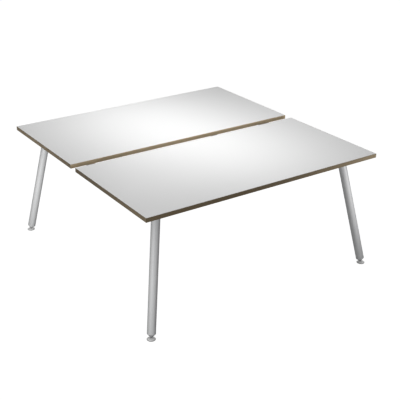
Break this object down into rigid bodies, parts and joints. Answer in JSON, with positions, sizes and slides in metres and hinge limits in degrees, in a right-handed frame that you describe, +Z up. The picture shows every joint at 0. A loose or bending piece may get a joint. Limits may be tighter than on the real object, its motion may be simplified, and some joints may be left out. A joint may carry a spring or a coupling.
{
  "type": "bench desk",
  "caption": "Back-to-back bench desk: paired white tops with ply-look edges, a cable gap between them, splayed round tube legs and swivel levelling feet.",
  "frame": {"origin": "on the floor under the middle of the desk, at the centre of the cable gap", "axes": "+X along the tops and the cable gap, +Y from the front top to the rear top, +Z up"},
  "size_m": [1.6, 1.66, 0.745],
  "materials": {
    "white_laminate": "white melamine face on chipboard, satin",
    "ply_edge": "ply-look edge band with fine lines along it",
    "silver_paint": "silver powder coat, satin with a fine grain",
    "cast_metal": "die-cast aluminium, silver coat",
    "zinc_steel": "zinc plated",
    "foot_metal": "satin nickel plated",
    "dark_steel": "black oxide, oiled",
    "grey_nylon": "moulded light grey nylon"
  },
  "bodies": {
    "desk": {"front_top_board": "white_laminate", "front_top_outer_edge_band": "ply_edge", "front_top_gap_edge_band": "ply_edge", "front_top_left_edge_band": "ply_edge", "front_top_right_edge_band": "ply_edge", "front_beam": "silver_paint", "rear_top_board": "white_laminate", "rear_top_outer_edge_band": "ply_edge", "rear_top_gap_edge_band": "ply_edge", "rear_top_left_edge_band": "ply_edge", "rear_top_right_edge_band": "ply_edge", "rear_beam": "silver_paint", "left_cross_rail": "silver_paint", "right_cross_rail": "silver_paint", "front_left_leg_head": "cast_metal", "front_left_outer_head_screw": "zinc_steel", "front_left_inner_head_screw": "zinc_steel", "front_left_rail_bolt": "zinc_steel", "front_left_beam_bolt_a": "zinc_steel", "front_left_beam_bolt_b": "zinc_steel", "front_left_leg_tube": "silver_paint", "front_left_leg_tip": "silver_paint", "front_right_leg_head": "cast_metal", "front_right_outer_head_screw": "zinc_steel", "front_right_inner_head_screw": "zinc_steel", "front_right_rail_bolt": "zinc_steel", "front_right_beam_bolt_a": "zinc_steel", "front_right_beam_bolt_b": "zinc_steel", "front_right_leg_tube": "silver_paint", "front_right_leg_tip": "silver_paint", "rear_left_leg_head": "cast_metal", "rear_left_outer_head_screw": "zinc_steel", "rear_left_inner_head_screw": "zinc_steel", "rear_left_rail_bolt": "zinc_steel", "rear_left_beam_bolt_a": "zinc_steel", "rear_left_beam_bolt_b": "zinc_steel", "rear_left_leg_tube": "silver_paint", "rear_left_leg_tip": "silver_paint", "rear_right_leg_head": "cast_metal", "rear_right_outer_head_screw": "zinc_steel", "rear_right_inner_head_screw": "zinc_steel", "rear_right_rail_bolt": "zinc_steel", "rear_right_beam_bolt_a": "zinc_steel", "rear_right_beam_bolt_b": "zinc_steel", "rear_right_leg_tube": "silver_paint", "rear_right_leg_tip": "silver_paint"},
    "front_left_ball": {"front_left_foot_ball": "grey_nylon"},
    "front_left_stem": {"front_left_foot_stem": "dark_steel"},
    "front_left_pad": {"front_left_foot_pad": "foot_metal"},
    "front_right_ball": {"front_right_foot_ball": "grey_nylon"},
    "front_right_stem": {"front_right_foot_stem": "dark_steel"},
    "front_right_pad": {"front_right_foot_pad": "foot_metal"},
    "rear_left_ball": {"rear_left_foot_ball": "grey_nylon"},
    "rear_left_stem": {"rear_left_foot_stem": "dark_steel"},
    "rear_left_pad": {"rear_left_foot_pad": "foot_metal"},
    "rear_right_ball": {"rear_right_foot_ball": "grey_nylon"},
    "rear_right_stem": {"rear_right_foot_stem": "dark_steel"},
    "rear_right_pad": {"rear_right_foot_pad": "foot_metal"}
  },
  "joints": [
    {"name": "front_left_foot_height", "type": "slide", "parent": "desk", "child": "front_left_ball", "axis": [-0.1702, -0.1702, -0.9706], "range_m": [0, 0.02]},
    {"name": "front_left_stem_turn", "type": "hinge", "parent": "front_left_ball", "child": "front_left_stem", "pos_m": [-0.775, -0.805, 0.007], "axis": [-0.1702, -0.1702, -0.9706], "range_deg": [0, 5761]},
    {"name": "front_left_pad_tilt", "type": "hinge", "parent": "front_left_ball", "child": "front_left_pad", "pos_m": [-0.775, -0.805, 0.007], "axis": [0.7071, -0.7071, 0], "range_deg": [-10, 10]},
    {"name": "front_right_foot_height", "type": "slide", "parent": "desk", "child": "front_right_ball", "axis": [0.1702, -0.1702, -0.9706], "range_m": [0, 0.02]},
    {"name": "front_right_stem_turn", "type": "hinge", "parent": "front_right_ball", "child": "front_right_stem", "pos_m": [0.775, -0.805, 0.007], "axis": [0.1702, -0.1702, -0.9706], "range_deg": [0, 5761]},
    {"name": "front_right_pad_tilt", "type": "hinge", "parent": "front_right_ball", "child": "front_right_pad", "pos_m": [0.775, -0.805, 0.007], "axis": [0.7071, 0.7071, 0], "range_deg": [-10, 10]},
    {"name": "rear_left_foot_height", "type": "slide", "parent": "desk", "child": "rear_left_ball", "axis": [-0.1702, 0.1702, -0.9706], "range_m": [0, 0.02]},
    {"name": "rear_left_stem_turn", "type": "hinge", "parent": "rear_left_ball", "child": "rear_left_stem", "pos_m": [-0.775, 0.805, 0.007], "axis": [-0.1702, 0.1702, -0.9706], "range_deg": [0, 5761]},
    {"name": "rear_left_pad_tilt", "type": "hinge", "parent": "rear_left_ball", "child": "rear_left_pad", "pos_m": [-0.775, 0.805, 0.007], "axis": [-0.7071, -0.7071, 0], "range_deg": [-10, 10]},
    {"name": "rear_right_foot_height", "type": "slide", "parent": "desk", "child": "rear_right_ball", "axis": [0.1702, 0.1702, -0.9706], "range_m": [0, 0.02]},
    {"name": "rear_right_stem_turn", "type": "hinge", "parent": "rear_right_ball", "child": "rear_right_stem", "pos_m": [0.775, 0.805, 0.007], "axis": [0.1702, 0.1702, -0.9706], "range_deg": [0, 5761]},
    {"name": "rear_right_pad_tilt", "type": "hinge", "parent": "rear_right_ball", "child": "rear_right_pad", "pos_m": [0.775, 0.805, 0.007], "axis": [-0.7071, 0.7071, 0], "range_deg": [-10, 10]}
  ],
  "couplings": [
    {"joint": "front_left_stem_turn", "follows": "front_left_foot_height", "rad_per_m": 5026.5},
    {"joint": "front_right_stem_turn", "follows": "front_right_foot_height", "rad_per_m": 5026.5},
    {"joint": "rear_left_stem_turn", "follows": "rear_left_foot_height", "rad_per_m": 5026.5},
    {"joint": "rear_right_stem_turn", "follows": "rear_right_foot_height", "rad_per_m": 5026.5}
  ]
}
